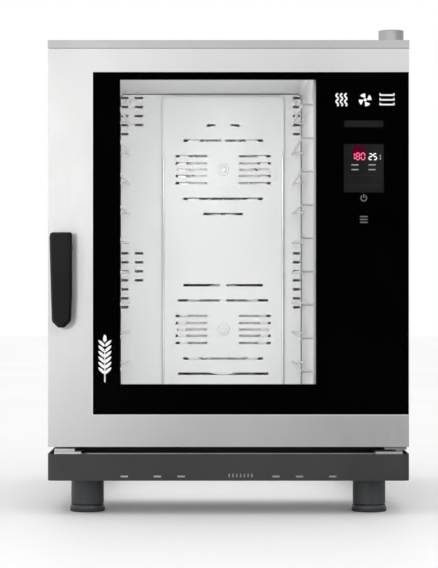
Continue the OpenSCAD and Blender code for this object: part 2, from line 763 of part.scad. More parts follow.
// The door's outer tray with a recessed seat for the glass, open at the right edge
module door_skin() color("#dfdfdf") at_casing() difference() {
    union() {
        door_ring([door_front, skin_back]);
        difference() {
            slab([-half_w, half_w], [door_front, door_front + sheet], [door_z, door_top]);
            slab([glass_left, half_w + eps], [door_front - eps, seat_y], [glass_z, glass_top]);
        }
        difference() {
            slab([glass_left - sheet, half_w - 0.5], [door_front + 0.5, seat_y + sheet],
                [glass_z - sheet, glass_top + sheet]);
            slab([glass_left + seat_w, half_w - seat_w], [door_front - eps, seat_y + 5],
                [glass_z + seat_w, glass_top - seat_w]);
        }
    }
    slab([glass_left, half_w + eps], [door_front - eps, seat_y], [glass_z, glass_top]);
    rod_y(handle_x, pivot_z, spindle_half + 0.5, door_front - eps, door_front + 3);
    translate([hinge_x, hinge_y, door_z - eps]) cylinder(r = bush_r + 0.05, h = 4);
    translate([hinge_x, hinge_y, door_top - 3]) cylinder(r = bush_r + 0.05, h = 4);
}

glass_x = [glass_left + fit_gap, half_w];
glass_span = [glass_z + fit_gap, glass_top - fit_gap];

module door_outer_glass() color("#9aa0a4") at_casing()
    slab(glass_x, [door_front, seat_y - print_t], glass_span);

module door_glass_print() color("#050505") at_casing() difference() {
    slab(glass_x, [seat_y - print_t, seat_y], glass_span);
    slab([window_x, window_x + window_w], [door_front, seat_y + eps], [window_z, window_z + window_h]);
    slab([display_x - display_w / 2, display_x + display_w / 2], [door_front, seat_y + eps],
        [display_z, display_z + display_h]);
}

module door_inner_frame() color("#d2d4d6") at_casing() difference() {
    union() {
        door_ring([skin_back, door_back]);
        slab([-half_w, half_w], [door_back - sheet, door_back], [door_z, door_top]);
    }
    slab([pane_l - fit_gap, pane_r + fit_gap], [skin_back, door_back + eps],
        [pane_z - fit_gap, pane_top + fit_gap]);
    slab([handle_x - 20, handle_x + 20], [skin_back, door_back + eps], [keeper_z[0] - 12, keeper_z[1] + 12]);
    for (i = [0 : 5])
        slab([240, 340], [skin_back, door_back + eps], [300 + i * 18, 305 + i * 18]);
}

tunnel_x = [pane_l - 1, pane_r + 1];
tunnel_z = [pane_z - 1, pane_top + 1];

module door_window_tunnel() color("#c6c8ca") at_casing()
    face_ring([tunnel_x[0] - sheet, tunnel_x[1] + sheet], [tunnel_z[0] - sheet, tunnel_z[1] + sheet], sheet,
        [seat_y + sheet, door_back - sheet]);

module door_inner_glass() color("#b0b8bc") at_casing()
    slab([pane_l, pane_r], [door_back - pane_t, door_back], [pane_z, pane_top]);

module glass_clips() color("#8a8c8e") at_casing()
    for (x = [pane_l + 70, pane_r - 70], z = [pane_z, pane_top])
        slab([x - 14, x + 14], [door_back, door_back + 2], [z - 8, z + 8]);

module door_led_bar() color("#f4f0dc") at_casing()
    slab([tunnel_x[0], tunnel_x[0] + 7], [door_front + 22, door_front + 34], [300, 860]);

module display_module() color("#202224") at_casing() {
    x = [display_x - display_w / 2 - 6, display_x + display_w / 2 + 6];
    z = [display_z - 6, display_z + display_h + 6];
    slab(x, [seat_y + 0.2, seat_y + 4], z);
    slab([x[0] + 4, x[1] - 4], [seat_y + 3, seat_y + 12], [z[0] + 4, z[1] - 4]);
}

// The control board behind the display, on four posts, with connectors and a processor block
module control_board() color("#2d6a3a") at_casing() {
    x = [214, 352];
    y = seat_y + 20;
    z = [560, 860];
    edge = 8;
    slab(x, [y, y + 1.6], z);
    for (px = [x[0] + edge, x[1] - edge], pz = [z[0] + edge, z[1] - edge])
        rod_y(px, pz, 3, y + 1, door_back - sheet);
    for (i = [0 : 3]) slab([236 + i * 28, 252 + i * 28], [y + 1, y + 12], [590, 612]);
    slab([250, 318], [y - 8, y + 1], [700, 760]);
}

module handle_escutcheon() color("#1e1f20") at_casing() difference() {
    rod_y(handle_x, pivot_z, 22, door_front - 6, door_front);
    rod_y(handle_x, pivot_z, spindle_half + run_gap, door_front - 7, door_front + eps);
}

// Handle ----------------------------------------------------------------------------------------

paddle_y = [door_front - handle_out, door_front - handle_out + paddle_t];

module paddle_outline() {
    right = handle_w / 2;
    polygon([[-right + 6, 0], [right - 3, 0], [right, -3], [right, -handle_l * 0.68],
        [right - 2, 15 - handle_l], [right - 15, -handle_l], [18 - right, -handle_l],
        [5 - right, 15 - handle_l], [-right, -6]]);
}

// The grip and its neck, drilled for the spindle
module handle_lever() color("#202122") at_casing() difference() {
    union() {
        translate([handle_x, paddle_y[1], handle_top]) rotate([90, 0, 0]) linear_extrude(paddle_t)
            paddle_outline();
        rod_y(handle_x, pivot_z, 19, paddle_y[1] - eps, door_front - 6.5);
    }
    rod_y(handle_x, pivot_z, spindle_half + 0.02, paddle_y[0] + 8, door_front);
}

module handle_spindle() color("#888a8c") at_casing()
    rod_y(handle_x, pivot_z, spindle_half, paddle_y[0] + 9, keeper_front - 6);

module latch_cam() color("#767879") at_casing() difference() {
    y = [keeper_front - 14, keeper_front - 7];
    union() {
        rod_y(handle_x, pivot_z, 14, y[0], y[1]);
        slab([handle_x - 7, handle_x + 7], y, [pivot_z - 32, pivot_z]);
    }
    rod_y(handle_x, pivot_z, spindle_half + 0.02, y[0] - eps, y[1] + eps);
}

side_panel_left();
side_panel_right();
rear_panel();
lid();
bottom_plate();
front_frame();
base_frame();
base_skirt();
drip_tray();
foot_sockets();
foot_front_left();
foot_front_right();
foot_rear_left();
foot_rear_right();
cavity_liner();
insulation();
door_gasket();
fan_baffle();
baffle_knobs();
tray_runners();
motor_plate();
fan_motors();
fan_upper();
fan_lower();
shaft_upper();
shaft_lower();
ring_heaters();
water_pipe();
water_valves();
drain_pipe();
drain_strainer();
vent_duct();
vent_flue();
vent_damper();
damper_motor();
cooling_fan_frame();
cooling_fan_rotor();
power_board();
cable_gland();
hinge_brackets();
hinge_pins();
latch_keeper();
casing_screws();
door_skin();
door_outer_glass();
door_glass_print();
door_inner_frame();
door_window_tunnel();
door_inner_glass();
glass_clips();
door_led_bar();
display_module();
control_board();
hinge_bushes();
handle_escutcheon();
handle_lever();
handle_spindle();
latch_cam();
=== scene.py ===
"""Looks of the combi steamer oven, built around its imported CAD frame. Metres, +Z up, the door faces -Y."""
import json
import math

import bmesh
import bpy
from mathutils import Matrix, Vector

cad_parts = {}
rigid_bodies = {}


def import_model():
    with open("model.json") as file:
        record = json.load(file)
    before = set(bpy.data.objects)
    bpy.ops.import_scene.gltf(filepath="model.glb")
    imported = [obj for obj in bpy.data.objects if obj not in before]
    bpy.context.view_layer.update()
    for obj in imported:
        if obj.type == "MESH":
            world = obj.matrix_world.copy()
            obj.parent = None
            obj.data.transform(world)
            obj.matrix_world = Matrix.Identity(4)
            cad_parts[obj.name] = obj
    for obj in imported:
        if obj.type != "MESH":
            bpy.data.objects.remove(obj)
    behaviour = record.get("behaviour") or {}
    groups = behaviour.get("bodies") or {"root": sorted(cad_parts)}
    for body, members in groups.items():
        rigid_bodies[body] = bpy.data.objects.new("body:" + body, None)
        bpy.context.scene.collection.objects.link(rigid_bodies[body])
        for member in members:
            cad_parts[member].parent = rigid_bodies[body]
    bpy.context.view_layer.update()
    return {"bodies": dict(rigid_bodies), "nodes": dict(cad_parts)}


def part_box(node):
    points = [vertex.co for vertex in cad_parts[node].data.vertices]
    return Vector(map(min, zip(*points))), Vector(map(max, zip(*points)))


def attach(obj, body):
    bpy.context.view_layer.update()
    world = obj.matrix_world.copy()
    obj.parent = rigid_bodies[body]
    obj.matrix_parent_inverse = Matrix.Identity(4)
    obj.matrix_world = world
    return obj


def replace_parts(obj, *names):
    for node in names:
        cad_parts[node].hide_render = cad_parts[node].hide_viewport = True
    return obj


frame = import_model()
NODES = frame["nodes"]
BODIES = frame["bodies"]
MM = 0.001
TURN = 2 * math.pi
UP = Vector((0, 0, 1))


# Places read from the frame -------------------------------------------------------------------

class Box:
    """The box of a CAD node at rest: its lowest corner, its highest corner and its middle."""

    def __init__(self, node):
        low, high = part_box(node)
        self.low, self.high = Vector(low), Vector(high)
        self.middle = (self.low + self.high) / 2


GLASS = Box("door_outer_glass")
SCREEN_FACE = Box("display_module")
CHAMBER = Box("cavity_liner")
REAR = Box("rear_panel")
FRONT_Y = GLASS.low.y
BACK_Y = REAR.high.y


# Material helpers -----------------------------------------------------------------------------

class Nodes:
    """A shader tree under construction, with the coordinates that its patterns use."""

    def __init__(self, tree, coordinates):
        self.tree = tree
        self.coords = self.node("ShaderNodeTexCoord").outputs[coordinates]

    def feed(self, target, value):
        """Links an output to an input, or gives the input a plain value."""
        if isinstance(value, bpy.types.NodeSocket):
            self.tree.links.new(value, target)
        elif target.type == "RGBA":
            target.default_value = (*value, 1)
        else:
            target.default_value = value

    def node(self, kind, inputs=None, **settings):
        """Adds a node and feeds its inputs by name or number."""
        made = self.tree.nodes.new(kind)
        for key, value in settings.items():
            setattr(made, key, value)
        for key, value in (inputs or {}).items():
            self.feed(made.inputs[key], value)
        return made

    def noise(self, scale, detail=4.0, rough=0.55, stretch=(1, 1, 1)):
        place = self.node("ShaderNodeMapping", {"Vector": self.coords, "Scale": stretch})
        cloud = self.node("ShaderNodeTexNoise", {
            "Vector": place.outputs["Vector"], "Scale": scale, "Detail": detail, "Roughness": rough,
        })
        return cloud.outputs["Fac"]

    def ramp(self, source, low, high, start=0.35, end=0.65, **settings):
        """A value that runs from low to high as source runs from start to end."""
        return self.node("ShaderNodeMapRange", {
            "Value": source, "From Min": start, "From Max": end, "To Min": low, "To Max": high,
        }, **settings).outputs["Result"]

    def blend(self, factor, first, second, kind="RGBA"):
        inputs = {"Factor": factor, "A": first, "B": second}
        return self.node("ShaderNodeMix", inputs, data_type=kind).outputs["Result"]

    def math(self, operation, *values):
        return self.node("ShaderNodeMath", dict(enumerate(values)), operation=operation).outputs["Value"]

    def bump(self, height, strength, distance, before=None):
        inputs = {"Height": height, "Strength": strength, "Distance": distance * MM}
        if before is not None:
            inputs["Normal"] = before
        return self.node("ShaderNodeBump", inputs).outputs["Normal"]


class Shader(Nodes):
    """One node material under construction, with its Principled shader ready."""

    def __init__(self, name):
        self.material = bpy.data.materials.new(name)
        self.material.use_nodes = True
        super().__init__(self.material.node_tree, "Object")
        self.bsdf = self.tree.nodes["Principled BSDF"]
        self.output = self.tree.nodes["Material Output"]

    def set(self, **values):
        for key, value in values.items():
            self.feed(self.bsdf.inputs[key.replace("_", " ")], value)


def shades(colour, spread):
    """A darker and a lighter neighbour of a colour."""
    dark = tuple(max(0.0, c * (1 - spread)) for c in colour)
    light = tuple(min(1.0, c * (1 + spread)) for c in colour)
    return dark, light


GRAIN = {"x": (1.2, 60, 60), "y": (60, 1.2, 60), "z": (60, 60, 1.2)}


def brushed(name, colour, rough=0.34, grain="x", metal=1.0, smudge=0.06, depth=0.05):
    """Brushed sheet: fine streaks along one axis, soft smudges and slight colour drift."""
    s = Shader(name)
    streaks = s.noise(14, 6, 0.7, GRAIN[grain])
    fine = s.noise(45, 3, 0.6, GRAIN[grain])
    cloud = s.noise(2.2, 3, 0.5)
    wipe = s.noise(7, 5, 0.6, (1, 1, 0.4))
    dark, light = shades(colour, 0.05)
    tint = s.math("MULTIPLY_ADD", streaks, 0.6, 0.2)
    tint = s.math("MULTIPLY", s.math("ADD", tint, cloud), 0.5)
    wiped = s.ramp(wipe, rough - smudge / 2, rough + smudge, 0.3, 0.7)
    s.set(
        Base_Color=s.blend(s.ramp(tint, 0, 1, 0.3, 0.75), dark, light),
        Metallic=metal,
        Roughness=s.math("ADD", wiped, s.ramp(streaks, 0, 0.06)),
        Normal=s.bump(fine, depth, 0.4, s.bump(streaks, depth * 1.4, 0.6)),
    )
    return s.material


def moulded(name, colour, rough=0.5, grain=900, depth=0.25, spread=0.12, shine=0.5):
    """Moulded plastic with a fine leather-like grain and faint handling marks."""
    s = Shader(name)
    skin = s.noise(grain, 3, 0.6)
    cloud = s.noise(9, 4, 0.55)
    dark, light = shades(colour, spread)
    s.set(
        Base_Color=s.blend(s.ramp(cloud, 0, 1), dark, light),
        Roughness=s.ramp(cloud, rough - 0.07, rough + 0.09),
        Normal=s.bump(skin, depth, 0.3),
        Specular_IOR_Level=shine,
    )
    return s.material


def painted(name, colour, rough=0.45, chip=(0.3, 0.29, 0.28)):
    """Powder coat: orange peel, dust in the low places and a few rubbed specks."""
    s = Shader(name)
    peel = s.noise(420, 2, 0.5)
    cloud = s.noise(6, 5, 0.6)
    specks = s.ramp(s.noise(150, 2, 0.4), 0, 1, 0.74, 0.78)
    dark, light = shades(colour, 0.15)
    coat = s.blend(s.ramp(cloud, 0, 1), dark, light)
    s.set(
        Base_Color=s.blend(s.math("MULTIPLY", specks, 0.5), coat, chip),
        Roughness=s.ramp(cloud, rough - 0.06, rough + 0.1),
        Normal=s.bump(peel, 0.18, 0.4),
    )
    return s.material


GLASS_IOR = 1.45


def clear_glass(name, tint, share):
    """Float glass as one clear skin: it lets light through and mirrors by angle, the same on both faces."""
    s = Shader(name)
    haze = s.noise(5, 4, 0.6, (1, 1, 0.5))
    through = s.node("ShaderNodeBsdfTransparent", {"Color": tint})
    mirror = s.node("ShaderNodeBsdfGlossy", {"Roughness": s.ramp(haze, 0.0, 0.03)})
    leaving = s.node("ShaderNodeNewGeometry").outputs["Backfacing"]
    bend = s.ramp(leaving, GLASS_IOR, 1 / GLASS_IOR, 0, 1)
    fresnel = s.node("ShaderNodeFresnel", {"IOR": bend}).outputs["Fac"]
    mix = s.node("ShaderNodeMixShader", {
        "Fac": s.math("MULTIPLY", s.math("POWER", fresnel, 1.7), share),
        1: through.outputs["BSDF"],
        2: mirror.outputs["BSDF"],
    })
    s.feed(s.output.inputs["Surface"], mix.outputs["Shader"])
    s.tree.nodes.remove(s.bsdf)
    return s.material


def glowing(name, colour, strength):
    """A lit mark: it glows by itself and mirrors nothing."""
    s = Shader(name)
    dark, light = shades(colour, 0.06)
    s.set(
        Base_Color=s.blend(s.ramp(s.noise(60, 2, 0.5), 0, 1), dark, light),
        Roughness=0.4,
        Specular_IOR_Level=0.0,
        Emission_Color=colour,
        Emission_Strength=strength,
    )
    return s.material


def inked(name, colour, spread=0.1, shine=0.5):
    """Smooth printed ink."""
    return moulded(name, colour, 0.5, 300, 0.03, spread, shine)


STEEL = brushed("steel_casing", (0.79, 0.79, 0.785), 0.36, "z")
STEEL_DOOR = brushed("steel_door", (0.80, 0.80, 0.795), 0.36, "z")
STEEL_LID = brushed("steel_lid", (0.60, 0.60, 0.60), 0.38, "x")
STEEL_CHAMBER = brushed("steel_chamber", (0.80, 0.80, 0.80), 0.4, "z", metal=0.4, smudge=0.08, depth=0.03)
STEEL_BAFFLE = brushed("steel_baffle", (0.82, 0.82, 0.825), 0.45, "x", metal=0.25, smudge=0.08, depth=0.03)
STEEL_RACK = brushed("steel_rack", (0.74, 0.74, 0.74), 0.26, "y", metal=0.9, smudge=0.05, depth=0.04)
STEEL_PLAIN = brushed("steel_plain", (0.55, 0.56, 0.57), 0.42, "x", smudge=0.1, depth=0.08)
STEEL_TURNED = brushed("steel_turned", (0.62, 0.62, 0.63), 0.22, "y", smudge=0.05, depth=0.12)
# Pale, mostly diffuse steel for the glass bead: its own colour plus a painted highlight along the glass edge.
TRIM_PAINTED_HIGHLIGHT = brushed("steel_trim_painted_highlight", (0.88, 0.88, 0.875), 0.42, "z", metal=0.3, smudge=0.04, depth=0.03)
HEATER = brushed("steel_heater", (0.20, 0.17, 0.14), 0.5, "x", metal=0.8, smudge=0.12, depth=0.15)
BRASS = brushed("brass_bush", (0.72, 0.52, 0.22), 0.3, "x", depth=0.08)
BLACK_PRINT = moulded("ceramic_print", (0.0006, 0.0006, 0.0007), 0.6, 60, 0.01, spread=0.3, shine=0.0)
PADDLE = moulded("handle_plastic", (0.003, 0.0031, 0.0033), 0.45, 1400, 0.12, spread=0.2, shine=0.22)
BLACK_PLASTIC = moulded("black_plastic", (0.012, 0.012, 0.013))
SKIRT = moulded("skirt_plastic", (0.031, 0.0315, 0.033), 0.55, 700, 0.3)
RUBBER = moulded("silicone", (0.016, 0.016, 0.017), 0.62, 260, 0.2, spread=0.25)
WHITE_PLASTIC = moulded("white_plastic", (0.72, 0.72, 0.69), 0.4, 500, 0.12, spread=0.06)
GREEN_BOARD = moulded("board_mask", (0.012, 0.11, 0.035), 0.3, 240, 0.2, spread=0.25)
WOOL = moulded("mineral_wool", (0.55, 0.43, 0.2), 0.95, 130, 0.9, spread=0.3)
SCREEN = moulded("screen", (0.0125, 0.0125, 0.013), 0.45, 300, 0.03, spread=0.2, shine=0.02)
FRAME_PAINT = painted("frame_paint", (0.03, 0.031, 0.033))
FOOT_PAINT = painted("foot_paint", (0.045, 0.047, 0.05), 0.4)
MOTOR_PAINT = painted("motor_paint", (0.16, 0.17, 0.18), 0.5)
PANE = clear_glass("outer_glass", (0.987, 0.99, 0.988), 0.9)
INNER_PANE = clear_glass("inner_glass", (0.992, 0.994, 0.993), 0.8)
LED_LENS = glowing("led_lens", (1.0, 0.98, 0.94), 2.0)
DIGIT_RED = glowing("digit_red", (0.85, 0.12, 0.25), 1.0)
DIGIT_WHITE = glowing("digit_white", (0.8, 0.82, 0.85), 1.0)
DIGIT_GREY = glowing("digit_grey", (0.22, 0.22, 0.23), 0.6)
GLOW_RED = glowing("glow_red", (0.045, 0.0, 0.006), 1.0)
MARK_GREY = inked("mark_grey", (0.16, 0.16, 0.165))
MARK_DARK = inked("mark_dark", (0.013, 0.013, 0.0135), shine=0.0)
MARK_FAINT = inked("mark_faint", (0.026, 0.026, 0.027), shine=0.0)
MARK_WHITE = inked("mark_white", (0.86, 0.86, 0.86), spread=0.03)

FEET = {"foot_front_left": "foot_fl", "foot_front_right": "foot_fr",
        "foot_rear_left": "foot_rl", "foot_rear_right": "foot_rr"}
MATERIAL_OF = {
    STEEL: ("side_panel_left", "side_panel_right", "rear_panel", "front_frame"),
    STEEL_DOOR: ("door_skin", "door_inner_frame", "drip_tray"),
    STEEL_LID: ("lid",),
    STEEL_CHAMBER: ("cavity_liner", "drain_strainer", "door_window_tunnel"),
    STEEL_BAFFLE: ("fan_baffle", "baffle_knobs"),
    STEEL_RACK: ("tray_runners", "fan_upper", "fan_lower"),
    STEEL_PLAIN: ("bottom_plate", "motor_plate", "hinge_brackets", "latch_keeper", "glass_clips", "vent_duct",
                  "vent_flue", "vent_damper", "casing_screws", "drain_pipe", "water_pipe"),
    STEEL_TURNED: ("shaft_upper", "shaft_lower", "hinge_pins", "handle_spindle", "latch_cam"),
    HEATER: ("ring_heaters",),
    BRASS: ("hinge_bushes",),
    BLACK_PRINT: ("door_glass_print",),
    BLACK_PLASTIC: ("cooling_fan_frame", "cooling_fan_rotor", "damper_motor", "handle_escutcheon"),
    SCREEN: ("display_module",),
    SKIRT: ("base_skirt",),
    RUBBER: ("cable_gland",),
    WHITE_PLASTIC: ("water_valves",),
    GREEN_BOARD: ("power_board", "control_board"),
    WOOL: ("insulation",),
    FRAME_PAINT: ("base_frame",),
    FOOT_PAINT: ("foot_sockets", *FEET),
    MOTOR_PAINT: ("fan_motors",),
    PANE: ("door_outer_glass",),
    INNER_PANE: ("door_inner_glass",),
    LED_LENS: ("door_led_bar",),
}
# Edge widths in millimetres.
SOFT_EDGE = {
    "door_skin": 1.2, "lid": 1.0, "base_skirt": 1.2, "side_panel_left": 0.5, "side_panel_right": 0.5,
    "rear_panel": 0.4, "door_inner_frame": 0.6, "door_outer_glass": 0.5, "door_inner_glass": 0.6,
    "fan_baffle": 0.5, "baffle_knobs": 1.0, "handle_escutcheon": 1.2, "foot_sockets": 1.5,
    "vent_flue": 0.6, "hinge_brackets": 0.8, "latch_keeper": 0.6, "base_frame": 1.5, "drain_pipe": 0.5,
    "water_valves": 0.8, "cable_gland": 1.0, "fan_motors": 1.5, "cooling_fan_frame": 0.8,
    "cavity_liner": 0.5, "front_frame": 0.4, "drip_tray": 0.5, **dict.fromkeys(FEET, 1.5),
}


def soften(made, width, segments=3, angle=35):
    """Rounds the sharp edges of an object, by a width in millimetres."""
    bevel = made.modifiers.new("soft_edge", "BEVEL")
    bevel.width = width * MM
    bevel.segments = segments
    bevel.limit_method = "ANGLE"
    bevel.angle_limit = math.radians(angle)
    made.modifiers.new("even_normals", "WEIGHTED_NORMAL").keep_sharp = True


def dress_cad_nodes():
    """Gives every CAD node its material, and softens the edges that catch light."""
    for material, names in MATERIAL_OF.items():
        for name in names:
            slots = NODES[name].data.materials
            slots.clear()
            slots.append(material)
    for name, width in SOFT_EDGE.items():
        node = NODES[name]
        node.modifiers.new("weld", "WELD").merge_threshold = 0.02 * MM
        flats = node.modifiers.new("flats", "DECIMATE")
        flats.decimate_type = "DISSOLVE"
        flats.angle_limit = math.radians(0.5)
        soften(node, width, 2, 40)


# Mesh helpers ---------------------------------------------------------------------------------

def piece(name, mesh, material, body, smooth=40):
    """Makes a piece from a bmesh, shades it smooth below an angle, and lets it ride on a body."""
    data = bpy.data.meshes.new(name)
    bmesh.ops.recalc_face_normals(mesh, faces=mesh.faces)
    mesh.to_mesh(data)
    mesh.free()
    data.materials.append(material)
    made = bpy.data.objects.new(name, data)
    bpy.context.scene.collection.objects.link(made)
    for polygon in data.polygons:
        polygon.use_smooth = True
    data.set_sharp_from_angle(angle=math.radians(smooth))
    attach(made, body)
    return made


def from_mm(pairs, first=0.0, second=0.0):
    """Pairs given in millimetres, moved by first and second, as metres."""
    return [(first + a * MM, second + b * MM) for a, b in pairs]


def skin(mesh, rows, wrap=True, loop=False, caps=True):
    """Faces between rows of points. Wrap closes each row, and loop joins the last row to the first."""
    count = len(rows[0])
    pairs = list(zip(rows, rows[1:]))
    if loop:
        pairs.append((rows[-1], rows[0]))
    for first, second in pairs:
        for k in range(count if wrap else count - 1):
            m = (k + 1) % count
            mesh.faces.new((first[k], first[m], second[m], second[k]))
    if caps:
        mesh.faces.new(rows[0][::-1])
        mesh.faces.new(rows[-1])


def add_prism(mesh, outline, layer):
    """Adds an outline in the XZ plane, pushed through a layer given by its two y."""
    skin(mesh, [[mesh.verts.new((x, y, z)) for x, z in outline] for y in layer])


def add_tube(mesh, path, radius, sides=10, closed=False):
    """Adds a round wire along a list of points."""
    count = len(path)
    rings = []
    for i, point in enumerate(path):
        before = path[i - 1] if (i or closed) else point
        after = path[(i + 1) % count] if (i < count - 1 or closed) else point
        along = (after - before).normalized()
        side = along.cross(UP)
        if side.length < 0.1:
            side = along.cross(Vector((0, 1, 0)))
        side.normalize()
        lift = side.cross(along)
        rings.append([
            mesh.verts.new(point + radius * (side * math.cos(a) + lift * math.sin(a)))
            for a in (TURN * k / sides for k in range(sides))
        ])
    skin(mesh, rings, loop=closed, caps=not closed)


def circle_path(centre, radius, axis, steps):
    """Points round a circle whose axis is one of the frame's axes."""
    first, second = (Vector(row) for row in {
        "x": ((0, 1, 0), (0, 0, 1)), "y": ((1, 0, 0), (0, 0, 1)), "z": ((1, 0, 0), (0, 1, 0)),
    }[axis])
    angles = (TURN * i / steps for i in range(steps))
    return [Vector(centre) + radius * (first * math.cos(a) + second * math.sin(a)) for a in angles]


def add_ring(mesh, centre, radius, wire, axis="y", steps=40, sides=8):
    """Adds a closed ring of round wire; both radii are in millimetres."""
    add_tube(mesh, circle_path(centre, radius * MM, axis, steps), wire * MM, sides, closed=True)


def add_lathe(mesh, x, z, profile, steps=40):
    """Turns a profile of (y, radius) round the axis along Y through x and z."""
    skin(mesh, [
        [mesh.verts.new(p) for p in circle_path((x, y, z), radius, "y", steps)] for y, radius in profile
    ])


def add_ribbon(mesh, points, width, layer):
    """Adds a flat stroke of even width along points in the XZ plane."""
    flat = [Vector((x, 0, z)) for x, z in points]
    left, right = [], []
    for i, point in enumerate(flat):
        along = (flat[min(i + 1, len(flat) - 1)] - flat[max(i - 1, 0)]).normalized()
        side = Vector((-along.z, 0, along.x)) * width / 2
        left.append(point + side)
        right.append(point - side)
    add_prism(mesh, [(p.x, p.z) for p in left + right[::-1]], layer)


def arc(x, z, radius, start, stop, steps, squash=1.0):
    """Points of an arc in the XZ plane, from start to stop in degrees."""
    angles = (math.radians(start + (stop - start) * i / steps) for i in range(steps + 1))
    return [(x + radius * math.cos(a), z + radius * squash * math.sin(a)) for a in angles]


def rectangle(low, high):
    """The outline from a low corner (x, z) to a high corner."""
    return [(low[0], low[1]), (high[0], low[1]), (high[0], high[1]), (low[0], high[1])]


def inset_loft(mesh, outline, levels):
    """Skins one outline through levels of (y, inset); the inset pulls it towards its middle."""
    xs, zs = zip(*outline)
    mid_x, mid_z = (min(xs) + max(xs)) / 2, (min(zs) + max(zs)) / 2
    half_x, half_z = (max(xs) - min(xs)) / 2, (max(zs) - min(zs)) / 2
    rings = []
    for y, inset in levels:
        wide, tall = 1 - inset / half_x, 1 - inset / half_z
        rings.append([
            mesh.verts.new((mid_x + (x - mid_x) * wide, y, mid_z + (z - mid_z) * tall)) for x, z in outline
        ])
    skin(mesh, rings)


def sweep_frame(mesh, low, high, corner, profile, steps=8):
    """Sweeps a profile of (outward, y) round an upright rectangle with round corners."""
    path = []
    for x, z, start in ((high[0] - corner, high[1] - corner, 0), (low[0] + corner, high[1] - corner, 90),
                        (low[0] + corner, low[1] + corner, 180), (high[0] - corner, low[1] + corner, 270)):
        for i in range(steps + 1):
            a = math.radians(start + 90 * i / steps)
            path.append((Vector((x, 0, z)), Vector((math.cos(a), 0, math.sin(a)))))
    skin(mesh, [
        [mesh.verts.new(middle + out * (corner + n) + Vector((0, y, 0))) for n, y in profile]
        for middle, out in path
    ], loop=True, caps=False)


# Handle, seal and baffle ----------------------------------------------------------------------

# Share of the lever's width from its left, and share of its height from its top.
HANDLE_OUTLINE = (
    (0.13, 0), (0.93, 0), (0.985, 0.008), (1, 0.03), (1, 0.66), (0.955, 0.92), (0.90, 0.945), (0.70, 0.99),
    (0.64, 1), (0.40, 1), (0.34, 0.99), (0.15, 0.945), (0.105, 0.92), (0, 0.05), (0.03, 0.015),
)
# Millimetres behind the front of the lever, and the inset or the radius there.
HANDLE_LEVELS = ((0, 5.2), (1.2, 4.0), (7, 0.7), (9, 0), (17, 0), (20.5, 1.6), (22, 4.5))
NECK_PROFILE = ((20, 18.5), (24, 17), (30, 15.2), (38, 15.2))
# The same at the foot of the neck, from the back of the lever.
NECK_FLARE = ((-3, 18.4), (-0.4, 18.9), (0, 18.4))


def make_handle():
    """The grip: a flat paddle with chamfered flanks that narrows to a clipped end, on a short neck."""
    lever = Box("handle_lever")
    spindle = Box("handle_spindle")
    size = lever.high - lever.low
    outline = [(lever.low.x + size.x * u, lever.high.z - size.z * v) for u, v in HANDLE_OUTLINE]
    mesh = bmesh.new()
    inset_loft(mesh, outline, from_mm(HANDLE_LEVELS, lever.low.y))
    grip = piece("handle_grip", mesh, PADDLE, "handle", 28)
    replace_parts(grip, "handle_lever")
    mesh = bmesh.new()
    profile = from_mm(NECK_PROFILE, lever.low.y) + from_mm(NECK_FLARE, lever.high.y)
    add_lathe(mesh, spindle.middle.x, spindle.middle.z, profile)
    piece("handle_neck", mesh, PADDLE, "handle", 35)


SEAL_OFFSET = 11.5 * MM
SEAL_CORNER = 24 * MM
# The seal's section in millimetres: outward, and forward of its back.
SEAL_FOOT = ((-6.2, 0), (-6.6, -1.4), (-4.0, -1.8))
SEAL_LIP = ((4.0, -1.8), (6.6, -2.4), (6.9, -1.2), (6.2, 0))
BULB_ANGLES = [math.radians(-190 - 20 * i) for i in range(9)]
SEAL_BULB = [(3.6 * math.cos(a), 3.5 * math.sin(a) - 3.9) for a in BULB_ANGLES]


def make_seal():
    """The chamber's door seal: a clipped-in foot, a bulb and a thin wiping lip."""
    gasket = Box("door_gasket")
    mesh = bmesh.new()
    sweep_frame(
        mesh, (CHAMBER.low.x - SEAL_OFFSET, CHAMBER.low.z - SEAL_OFFSET),
        (CHAMBER.high.x + SEAL_OFFSET, CHAMBER.high.z + SEAL_OFFSET),
        SEAL_CORNER, from_mm((*SEAL_FOOT, *SEAL_BULB, *SEAL_LIP), second=gasket.high.y),
    )
    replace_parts(piece("door_seal", mesh, RUBBER, "casing", 50), "door_gasket")


RIB_OFFSET = 145 * MM
RIB_HALF = 2.6 * MM
RIB_RISE = 1.9 * MM
RIB_STEPS = 8
# Millimetres from the baffle's lower or upper edge, and the share of the rib's full section there.
RIB_LOW_END = ((21, 0.1), (24, 0.7), (30, 1))
RIB_HIGH_END = ((-159, 1), (-147, 0.7), (-140, 0.1))


def make_baffle_ribs():
    """Pressed ribs along both edges of the baffle's raised panel."""
    baffle = Box("fan_baffle")
    ends = [(baffle.low.z + z * MM, share) for z, share in RIB_LOW_END]
    ends += [(baffle.high.z + z * MM, share) for z, share in RIB_HIGH_END]
    angles = [math.pi * k / RIB_STEPS for k in range(RIB_STEPS + 1)]
    section = [(RIB_HALF * math.cos(a), -RIB_RISE * math.sin(a)) for a in angles]
    mesh = bmesh.new()
    for side in (-1, 1):
        x, y = Box("fan_upper").middle.x + side * RIB_OFFSET, baffle.low.y
        skin(mesh, [
            [mesh.verts.new((x + share * u, y + share * v, z)) for u, v in section] for z, share in ends
        ], wrap=False, caps=False)
    piece("baffle_ribs", mesh, STEEL_RACK, "casing", 60)


# Display and print ----------------------------------------------------------------------------

SEGMENTS = {"0": "abcdef", "1": "bc", "2": "abged", "5": "afgcd", "8": "abcdefg"}


